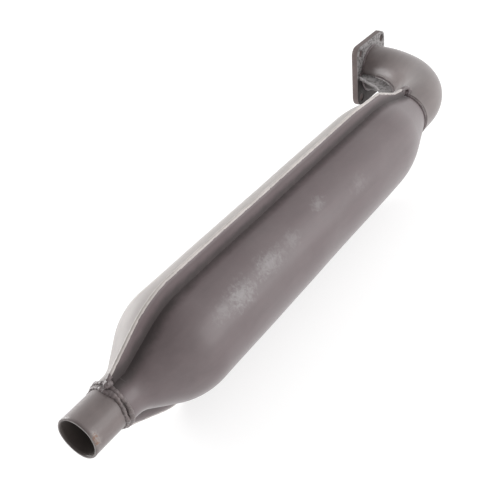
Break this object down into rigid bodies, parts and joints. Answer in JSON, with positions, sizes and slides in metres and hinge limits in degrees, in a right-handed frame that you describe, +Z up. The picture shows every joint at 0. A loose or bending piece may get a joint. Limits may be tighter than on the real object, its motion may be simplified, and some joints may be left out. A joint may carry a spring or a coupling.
{
  "type": "kart racing exhaust",
  "caption": "Welded kart exhaust: a pressed two-shell chamber with a seam fin, a straight outlet stub, and a right-angle header that ends in a square bolted engine flange.",
  "frame": {"origin": "centre of the engine flange's bolt pattern, on the flange's outer face", "axes": "+X along the chamber from the outlet to the header; +Y out of the flange toward the engine; +Z up, 6 degrees off the plane of the chamber's seam"},
  "size_m": [0.6286, 0.1365, 0.123],
  "materials": {
    "shell_paint": "matte heat-resistant paint, scuffed",
    "header_paint": "matte heat-resistant paint, dusty",
    "flange_paint": "matte heat-resistant paint, brush marks",
    "weld_paint": "painted weld bead, rough",
    "stub_paint": "matte heat-resistant paint, rust at the rim",
    "liner_steel": "sooty bare steel",
    "core_steel": "perforated bare steel, heat tinted",
    "steel_wool": "wound steel wool",
    "mineral_wool": "packed mineral wool"
  },
  "bodies": {
    "root": {"shell_right": "shell_paint", "shell_left": "shell_paint", "outlet_stub": "stub_paint", "header_elbow": "header_paint", "engine_flange": "flange_paint", "brace_gusset": "flange_paint", "seam_weld_top": "weld_paint", "seam_weld_bottom": "weld_paint", "seam_end_welds": "weld_paint", "outlet_weld": "weld_paint", "neck_weld": "weld_paint", "flange_weld": "weld_paint", "brace_header_weld": "weld_paint", "brace_cone_weld": "weld_paint", "brace_flange_weld": "weld_paint", "inlet_cone": "liner_steel", "cone_support_ring": "liner_steel", "baffle_cone": "liner_steel", "core_tube": "core_steel", "rear_disc": "liner_steel", "wool_wrap": "steel_wool", "packing": "mineral_wool"}
  },
  "joints": []
}
